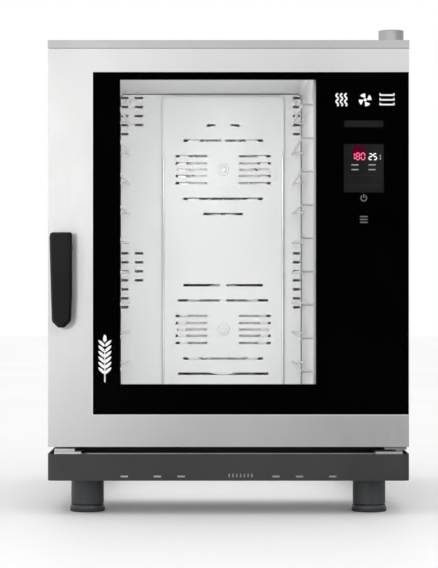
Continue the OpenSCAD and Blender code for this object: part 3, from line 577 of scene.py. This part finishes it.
def add_number(mesh, text, x, z, tall, layer):
    """Seven-bar numerals, the lower left corner of the first one at x, z."""
    wide, bar, half = tall * 0.52, tall * 0.13, tall / 2
    gap = bar * 0.65
    bars = {
        "a": ((gap, tall), (wide - gap, tall)), "d": ((gap, 0), (wide - gap, 0)),
        "g": ((gap, half), (wide - gap, half)), "b": ((wide, half + gap), (wide, tall - gap)),
        "c": ((wide, gap), (wide, half - gap)), "f": ((0, half + gap), (0, tall - gap)),
        "e": ((0, gap), (0, half - gap)),
    }
    for i, value in enumerate(text):
        left = x + i * tall * 0.78
        for name in SEGMENTS[value]:
            add_ribbon(mesh, [(left + u, z + v) for u, v in bars[name]], bar, layer)


SCREEN_EDGE = 6 * MM
# Millimetres from the screen's upper left corner inside that edge: x, z, and then a size.
TEMPERATURE = (15, -33, 14)
TIME = (53, -33, 12.5)
TIME_DOTS = ((77, -31), (77, -25))
DOT_RADIUS = 0.9 * MM
BAR_LENGTH = 15
BARS = ((16, -44), (16, -54), (52, -44), (52, -54))
BAR_WIDTH = 2.4 * MM
KEYS = [(14 + 14 * i, -88) for i in range(5)]
KEY_RADIUS = 3.2 * MM
KEY_LINE = 0.9 * MM
RULE = ((6, -66), (78, -66))
RULE_WIDTH = 0.8 * MM
GLOW = (30, -14, 14)


def make_display():
    """What the screen shows behind the glass: two readings, bars, touch keys and a soft backlight."""
    layer = (SCREEN_FACE.low.y - 0.14 * MM, SCREEN_FACE.low.y - 0.04 * MM)
    left, top = SCREEN_FACE.low.x + SCREEN_EDGE, SCREEN_FACE.high.z - SCREEN_EDGE
    mesh = bmesh.new()
    x, z, tall = TEMPERATURE
    add_number(mesh, "180", left + x * MM, top + z * MM, tall * MM, layer)
    piece("reading_temperature", mesh, DIGIT_RED, "door")
    mesh = bmesh.new()
    x, z, tall = TIME
    add_number(mesh, "25", left + x * MM, top + z * MM, tall * MM, layer)
    for x, z in from_mm(TIME_DOTS, left, top):
        add_prism(mesh, arc(x, z, DOT_RADIUS, 0, 330, 11), layer)
    piece("reading_time", mesh, DIGIT_WHITE, "door")
    mesh = bmesh.new()
    for x, z in BARS:
        add_ribbon(mesh, from_mm([(x, z), (x + BAR_LENGTH, z)], left, top), BAR_WIDTH, layer)
    piece("screen_bars", mesh, DIGIT_GREY, "door")
    mesh = bmesh.new()
    for x, z in from_mm(KEYS, left, top):
        add_ribbon(mesh, arc(x, z, KEY_RADIUS, 0, 350, 18), KEY_LINE, layer)
    add_ribbon(mesh, from_mm(RULE, left, top), RULE_WIDTH, layer)
    piece("screen_keys", mesh, MARK_FAINT, "door")
    mesh = bmesh.new()
    x, z, radius = GLOW
    disc = arc(left + x * MM, top + z * MM, radius * MM, 0, 350, 30, squash=0.8)
    add_prism(mesh, disc, (layer[1], layer[1] + 0.05 * MM))
    piece("screen_glow", mesh, GLOW_RED, "door")


SIGNS_FROM_RIGHT = 156 * MM
SIGNS_FROM_TOP = 73.1 * MM
# Millimetres from the lower left corner of the row of signs.
STEAM_X = (5, 14, 23)
FAN_HUB = (64, 15)
TRAY_SPAN = (94, 126)
TRAY_RAILS = (95.5, 124.5)
TRAY_Z = (5, 15, 25)


def add_signs(mesh, layer):
    """Steam, a fan and a stack of trays."""
    left, base = GLASS.high.x - SIGNS_FROM_RIGHT, GLASS.high.z - SIGNS_FROM_TOP
    for x in STEAM_X:
        wave = from_mm([(x + 2.4 * math.sin(t * 0.7), 2 + t * 1.4) for t in range(20)], left, base)
        add_ribbon(mesh, wave, 3.2 * MM, layer)
    hub, = from_mm([FAN_HUB], left, base)
    add_prism(mesh, arc(*hub, 3.4 * MM, 0, 340, 17), layer)
    for turn in (0, 90, 180, 270):
        tip = arc(*hub, 13.5 * MM, turn, turn + 52, 8)
        add_prism(mesh, tip + arc(*hub, 5 * MM, turn + 26, turn - 6, 4), layer)
    for z in TRAY_Z:
        add_ribbon(mesh, from_mm([(x, z) for x in TRAY_SPAN], left, base), 3.0 * MM, layer)
        for x in TRAY_RAILS:
            add_ribbon(mesh, from_mm([(x, z), (x, z + 4.2)], left, base), 2.6 * MM, layer)


EAR_FROM_LEFT = 25 * MM
EAR_FROM_LOW = 67.9 * MM
# Millimetres from the foot of the ear, and for a grain from the place where it leaves the stalk.
STALK_TOP = 66
GRAINS = [18 + 11.5 * i for i in range(6)]
GRAIN_OUTLINE = ((0.5, -1), (5, 1), (11.5, 7), (14, 13), (12.5, 13.5), (6, 10), (1, 5))
TIP_OUTLINE = ((0, 84), (4, 89), (3.2, 96), (0, 101), (-3.2, 96), (-4, 89))


def add_wheat_ear(mesh, layer):
    """An upright ear: a stalk, six pairs of grains and one at the tip."""
    x, z = GLASS.low.x + EAR_FROM_LEFT, GLASS.low.z + EAR_FROM_LOW
    add_ribbon(mesh, from_mm([(0, 0), (0, STALK_TOP)], x, z), 2.6 * MM, layer)
    for height in GRAINS:
        for side in (-1, 1):
            add_prism(mesh, from_mm([(side * u, height + v) for u, v in GRAIN_OUTLINE], x, z), layer)
    add_prism(mesh, from_mm(TIP_OUTLINE, x, z), layer)


# Millimetres from the middle of the screen, and above its upper or its lower edge.
SLIDER = ((-41, 36.5), (41, 36.5))
POWER_CENTRE = -6
POWER_RADIUS = 6 * MM
POWER_STROKE = ((0, -5.5), (0, 2.5))
MENU_LINES = (-57, -51, -45)
MENU_HALF = 8


def make_print_marks():
    """Marks printed on the glass: the signs, the wheat ear, the touch slider, power and menu."""
    face = Box("door_glass_print").low.y
    layer = (face - 0.1 * MM, face)
    mesh = bmesh.new()
    add_signs(mesh, layer)
    add_wheat_ear(mesh, layer)
    piece("print_white", mesh, MARK_WHITE, "door")
    x, low, high = SCREEN_FACE.middle.x, SCREEN_FACE.low.z, SCREEN_FACE.high.z
    mesh = bmesh.new()
    add_ribbon(mesh, from_mm(SLIDER, x, high), 14 * MM, layer)
    piece("touch_slider", mesh, MARK_DARK, "door")
    mesh = bmesh.new()
    add_ribbon(mesh, arc(x, low + POWER_CENTRE * MM, POWER_RADIUS, 125, 415, 26), 2.0 * MM, layer)
    add_ribbon(mesh, from_mm(POWER_STROKE, x, low), 2.2 * MM, layer)
    for z in MENU_LINES:
        add_ribbon(mesh, from_mm([(-MENU_HALF, z), (MENU_HALF, z)], x, low), 2.2 * MM, layer)
    piece("touch_marks", mesh, MARK_GREY, "door")


BEAD_WIDTH = 1.6 * MM
BEAD_LIP = 1.1 * MM


def make_glass_trim():
    """A bead that holds the glass at its left, top and bottom edge. Its pale, mostly diffuse steel is partly
    its own colour and partly a painted highlight, standing in for the bright line along the glass edge.
    """
    front, back = FRONT_Y - 0.5 * MM, FRONT_Y + 2.5 * MM
    left, right = GLASS.low.x - 1.8 * MM, GLASS.high.x - 0.6 * MM
    low, high = GLASS.low.z - 0.5 * MM, GLASS.high.z + 0.5 * MM
    mesh = bmesh.new()
    add_prism(mesh, rectangle((left, low), (left + BEAD_WIDTH, high)), (front, back))
    for z, out in ((low, -BEAD_LIP), (high, BEAD_LIP)):
        add_prism(mesh, rectangle((left, z), (right, z + out)), (front + 0.2 * MM, back))
    soften(piece("glass_trim", mesh, TRIM_PAINTED_HIGHLIGHT, "door"), 0.35)


# Casing details -------------------------------------------------------------------------------

LOUVRE_PITCH = 22
LOUVRE_RISE = 10 * MM
LOUVRE_STEPS = 14
LIP_STEPS = 5


def add_hood(mesh, start, along, out, length, reach):
    """One pressed louvre lip: a shell that lifts off its sheet and closes at both ends."""
    angles = [math.pi / 2 * k / LIP_STEPS for k in range(LIP_STEPS + 1)]
    section = [(math.sin(a), UP * (LOUVRE_RISE * math.cos(a))) for a in angles]
    rows = []
    for i in range(LOUVRE_STEPS + 1):
        u = i / LOUVRE_STEPS
        lift = min(1.0, min(u, 1 - u) * length / (LOUVRE_RISE * 1.1))
        swell = reach * math.sin(lift * math.pi / 2)
        foot = start + along * length * u
        rows.append([mesh.verts.new(foot + out * (swell * bulge) + rise) for bulge, rise in section])
    skin(mesh, rows[::-1], wrap=False, caps=False)


def make_louvre_banks(name, corner, along, out, banks, height, rows, length, reach):
    """Rows of lips on one panel. The banks, height, length and reach are millimetres from its corner."""
    corner, along, out = Vector(corner), Vector(along), Vector(out)
    mesh = bmesh.new()
    for bank in banks:
        for row in range(rows):
            start = corner + along * bank * MM + UP * (height + row * LOUVRE_PITCH) * MM
            add_hood(mesh, start, along, out, length * MM, reach * MM)
    sheet = piece(name, mesh, STEEL, "casing", 60).modifiers.new("sheet", "SOLIDIFY")
    sheet.thickness = 0.5 * MM
    sheet.offset = -1


def make_louvres():
    """Pressed lips over the vent slots of the right side and the back."""
    side = Box("side_panel_right")
    make_louvre_banks("side_louvres", (side.high.x, side.low.y, side.low.z), (0, 1, 0), (1, 0, 0),
                      banks=(328, 498), height=156, rows=10, length=144, reach=1.8)
    make_louvre_banks("rear_louvres", (REAR.low.x, BACK_Y, REAR.low.z), (1, 0, 0), (0, 1, 0),
                      banks=(88, 268), height=276, rows=8, length=134, reach=5)


GUARD_RINGS = [10 + 9.2 * i for i in range(6)]
# Millimetres out from the guard's middle and back from its arms' plane.
GUARD_ARM = ((9, 0), (58, 0), (63, 3), (71, 4))
GUARD_SCREW = 69
GUARD_SCREW_PROFILE = ((0, 5), (2.4, 5), (3.2, 3.6))


def make_fan_guard():
    """A wire guard with four arms over the cooling fan's outlet."""
    middle = Box("cooling_fan_frame").middle
    middle.y = BACK_Y + 3.5 * MM
    mesh = bmesh.new()
    for radius in GUARD_RINGS:
        add_ring(mesh, middle, radius, 0.9)
    centre = middle + Vector((0, 1.4 * MM, 0))
    for turn in range(4):
        a = math.radians(45 + turn * 90)
        out = Vector((math.cos(a), 0, math.sin(a)))
        path = [centre + (out * reach - Vector((0, back, 0))) * MM for reach, back in GUARD_ARM]
        add_tube(mesh, path, 1.2 * MM, 8)
        foot = centre + out * GUARD_SCREW * MM
        add_lathe(mesh, foot.x, foot.z, from_mm(GUARD_SCREW_PROFILE, BACK_Y), 20)
    piece("fan_guard", mesh, STEEL_TURNED, "casing", 40)


# Share of the screw's radius: how far out and how high.
SCREW_DOME = ((1.0, 0.0), (0.98, 0.18), (0.8, 0.42), (0.45, 0.55))
# The reach of the well's arms, its reach between them, and the height of its floor.
SCREW_WELL = (0.42, 0.16, 0.3)


def add_screw(mesh, place, size, sides=24):
    """A round-headed screw with a cross-shaped well. It faces +Y, and its radius is in millimetres."""
    arm, notch, floor = SCREW_WELL
    shape = [[(radius, height)] * sides for radius, height in SCREW_DOME]
    shape.append([(arm if k % 6 in (0, 1, 5) else notch, floor) for k in range(sides)])
    rings = []
    for row in shape:
        rings.append([])
        for k, (radius, height) in enumerate(row):
            a = TURN * k / sides
            point = Vector((radius * math.sin(a), height, radius * math.cos(a)))
            rings[-1].append(mesh.verts.new(Vector(place) + point * size * MM))
    skin(mesh, rings)


LID_SCREWS = (-300, -100, 100, 300)
LID_SCREW_DROP = 8.5 * MM
DOOR_SCREWS = (-320, -110, 60, 230, 340)
DOOR_SCREW_LOW = 20 * MM
DOOR_SCREW_DROP = 15.8 * MM
DOOR_COLUMN_X = 300 * MM
DOOR_COLUMN = (185, 335, 505, 655)


def make_screws():
    """Screw heads on the lid's rear flange and on the door's inner frame."""
    lid = Box("lid")
    mesh = bmesh.new()
    for x in LID_SCREWS:
        add_screw(mesh, (x * MM, lid.high.y, lid.high.z - LID_SCREW_DROP), 4)
    piece("lid_screws", mesh, STEEL_TURNED, "casing", 45)
    door = Box("door_inner_frame")
    low, high = door.low.z + DOOR_SCREW_LOW, door.high.z - DOOR_SCREW_DROP
    places = [(x * MM, z) for x in DOOR_SCREWS for z in (low, high)]
    places += [(DOOR_COLUMN_X, door.low.z + z * MM) for z in DOOR_COLUMN]
    mesh = bmesh.new()
    for x, z in places:
        add_screw(mesh, (x, door.high.y, z), 3.6)
    piece("door_screws", mesh, STEEL_TURNED, "door", 45)


# Low and high corner of each plate, in millimetres from the rear panel's low corner.
PLATES = (((70, 657), (190, 737)), ((230, 687), (290, 737)))
RIVET_INSET = 5
RIVET_PROFILE = ((0.8, 2.2), (1.6, 1.8), (2.0, 0.8))


def make_plates():
    """Two blank data plates on the back, each with four rivets."""
    plates, rivets = bmesh.new(), bmesh.new()
    for low, high in PLATES:
        outline = from_mm(rectangle(low, high), REAR.low.x, REAR.low.z)
        inset_loft(plates, outline, from_mm(((0.9, 0.4), (0.5, 0), (0, 0)), BACK_Y))
        corners = rectangle([v + RIVET_INSET for v in low], [v - RIVET_INSET for v in high])
        for x, z in from_mm(corners, REAR.low.x, REAR.low.z):
            add_lathe(rivets, x, z, from_mm(RIVET_PROFILE, BACK_Y), 16)
    soften(piece("data_plates", plates, STEEL_RACK, "casing"), 0.3)
    piece("plate_rivets", rivets, STEEL_TURNED, "casing", 40)


INLET_AXIS = 18 * MM
THREADS = [2 + 1.9 * i for i in range(9)]
DRAIN_AXIS = 21 * MM
DRAIN_BEADS = (3, 12)
# Millimetres from the rear panel's low corner.
STUD_PLACE = (80, 47)
# Washer, nut and stud: a profile in millimetres from the panel, and a number of sides.
STUD = (
    (((0, 10), (1.2, 10), (1.5, 9)), 32),
    (((1.4, 5.8), (6, 5.8), (6.6, 4.8)), 6),
    (((6, 3), (15, 3), (16, 2)), 20),
)


def make_services():
    """Thread crests on the inlets, clamp beads on the waste spigot and the earthing stud."""
    valves, drain = Box("water_valves"), Box("drain_pipe")
    mesh = bmesh.new()
    for x in (valves.low.x + INLET_AXIS, valves.high.x - INLET_AXIS):
        for back in THREADS:
            add_ring(mesh, (x, valves.high.y - back * MM, valves.low.z + INLET_AXIS), 13.2, 0.5, sides=6)
    piece("inlet_threads", mesh, WHITE_PLASTIC, "casing", 60)
    mesh = bmesh.new()
    for back in DRAIN_BEADS:
        centre = (drain.middle.x, drain.high.y - back * MM, drain.low.z + DRAIN_AXIS)
        add_ring(mesh, centre, 20, 0.9, steps=48)
    piece("drain_beads", mesh, STEEL_PLAIN, "casing", 60)
    mesh = bmesh.new()
    place, = from_mm([STUD_PLACE], REAR.low.x, REAR.low.z)
    for profile, sides in STUD:
        add_lathe(mesh, *place, from_mm(profile, BACK_Y), sides)
    piece("earth_stud", mesh, BRASS, "casing", 35)


def make_flue_rim():
    """The rolled top edge of the steam vent."""
    flue = Box("vent_flue")
    mesh = bmesh.new()
    centre = (flue.middle.x, flue.middle.y, flue.high.z - 1.3 * MM)
    add_ring(mesh, centre, 26, 1.25, "z", 56, 10)
    piece("flue_rim", mesh, STEEL_PLAIN, "casing", 60)


FOOT_RINGS = (2.2, 5.6)


def make_foot_rings():
    """Two grip rings round each foot pad."""
    for name, body in FEET.items():
        foot = Box(name)
        radius = (foot.high.x - foot.low.x) / 2 / MM
        mesh = bmesh.new()
        for z in FOOT_RINGS:
            add_ring(mesh, (foot.middle.x, foot.middle.y, foot.low.z + z * MM), radius, 0.7, "z", 56)
        piece(name + "_rings", mesh, RUBBER, body, 60)


# Stage, camera and light ----------------------------------------------------------------------

CAMERA_DISTANCE = 4.2
VIEW_HEIGHT = 1.1957
CAMERA_X = -0.020
CAMERA_Z = 0.488
SENSOR = 36
FLOOR_SIZE = 14
FLOOR_PALE = ((0.93, 0.93, 0.93), (0.95, 0.95, 0.95))
# Floor colour seen only in mirrors, pale at the left and dark at the right: painted shade for the steel to
# reflect.
FLOOR_SHADE_IN_MIRRORS = ((0.8, 0.8, 0.8), (0.18, 0.18, 0.18))


def make_camera():
    data = bpy.data.cameras.new("camera")
    data.sensor_width = SENSOR
    data.lens = SENSOR * CAMERA_DISTANCE / VIEW_HEIGHT
    camera = bpy.data.objects.new("camera", data)
    camera.location = (CAMERA_X, FRONT_Y - CAMERA_DISTANCE, CAMERA_Z)
    camera.rotation_euler = (math.radians(90), 0, 0)
    bpy.context.scene.collection.objects.link(camera)
    bpy.context.scene.camera = camera


def make_floor():
    """A pale floor. Seen in mirrors it is darker to the right: a painted shade that the steel mirrors, so
    that the steel shades off to that side.
    """
    mesh = bmesh.new()
    bmesh.ops.create_grid(mesh, x_segments=1, y_segments=1, size=FLOOR_SIZE)
    data = bpy.data.meshes.new("floor")
    mesh.to_mesh(data)
    mesh.free()
    s = Shader("floor_white")
    pale = s.blend(s.ramp(s.noise(1.3, 3, 0.5), 0, 1), *FLOOR_PALE)
    place = s.node("ShaderNodeSeparateXYZ", {"Vector": s.coords}).outputs
    # Painted shade: in mirrors only, the floor runs dark towards the right.
    painted_mirror_shade = s.blend(s.ramp(place["X"], 0, 1, -0.95, -0.1), *FLOOR_SHADE_IN_MIRRORS)
    glossy = s.node("ShaderNodeLightPath").outputs["Is Glossy Ray"]
    s.set(Base_Color=s.blend(glossy, pale, painted_mirror_shade), Roughness=0.55, Specular_IOR_Level=0.2)
    data.materials.append(s.material)
    floor = bpy.data.objects.new("floor", data)
    bpy.context.scene.collection.objects.link(floor)


def make_world():
    """White to the camera. To mirrors it is a pale room that is dark behind the camera."""
    world = bpy.data.worlds.new("studio")
    bpy.context.scene.world = world
    world.use_nodes = True
    w = Nodes(world.node_tree, "Generated")
    view = w.node("ShaderNodeSeparateXYZ", {"Vector": w.coords}).outputs
    ahead = w.ramp(view["Y"], 0.12, 0.85, -0.97, -0.80, interpolation_type="SMOOTHSTEP")
    strength = w.math("MULTIPLY", ahead, w.ramp(view["X"], 1.12, 0.7, -1.0, 1.0))
    ray = w.node("ShaderNodeLightPath").outputs
    for kind, value in (("Is Diffuse Ray", 1.1), ("Is Camera Ray", 1.0)):
        strength = w.blend(ray[kind], strength, value, "FLOAT")
    background = w.tree.nodes["Background"].inputs
    w.feed(background["Strength"], strength)
    w.feed(background["Color"], (1, 1, 1))


def area_light(name, place, target, size, power, parent=None):
    data = bpy.data.lights.new(name, "AREA")
    data.shape = "RECTANGLE"
    data.size, data.size_y = size
    data.energy = power
    light = bpy.data.objects.new(name, data)
    light.location = place
    light.rotation_euler = (Vector(target) - Vector(place)).to_track_quat("-Z", "Y").to_euler()
    bpy.context.scene.collection.objects.link(light)
    if parent is not None:
        light.parent = parent
        light.matrix_parent_inverse = parent.matrix_world.inverted()
    return light


def make_lights():
    """Soft banks before the door, a glow under the base, and the lamp light of the chamber."""
    area_light("top_bank", (0.5, -4.4, 2.2), (0, FRONT_Y, 0.6), (3.2, 0.9), 14)
    area_light("right_bank", (1.7, -4.1, 1.6), (0, FRONT_Y, 0.8), (0.9, 1.5), 9)
    area_light("left_spark", (-1.1, -4.3, 0.82), (-0.35, FRONT_Y, 0.6), (0.62, 0.46), 11.5)
    area_light("under_glow", (0, 0.12, Box("base_skirt").low.z - 2 * MM), (0, 0.12, 0), (0.60, 0.52), 0.8)
    x, _, z = CHAMBER.middle
    area_light("chamber_glow", (x, CHAMBER.low.y + 30 * MM, z), (x, CHAMBER.high.y, z), (0.40, 0.74), 0.4)
    behind_pane = Box("door_inner_glass").high.y + 4 * MM
    for name, rise, power in (("mouth_glow_top", 0.24, 0.85), ("mouth_glow_low", -0.23, 0.56)):
        place = (x - 0.01, behind_pane, z + rise)
        glow = area_light(name, place, (place[0], 0, place[2]), (0.36, 0.22), power, BODIES["door"])
        glow.visible_camera = False


def make_studio():
    bpy.context.scene.view_settings.view_transform = "Standard"
    bpy.context.scene.view_settings.look = "None"
    make_camera()
    make_floor()
    make_world()
    make_lights()


dress_cad_nodes()
make_handle()
make_seal()
make_baffle_ribs()
make_display()
make_print_marks()
make_glass_trim()
make_louvres()
make_fan_guard()
make_screws()
make_plates()
make_services()
make_flue_rim()
make_foot_rings()
make_studio()
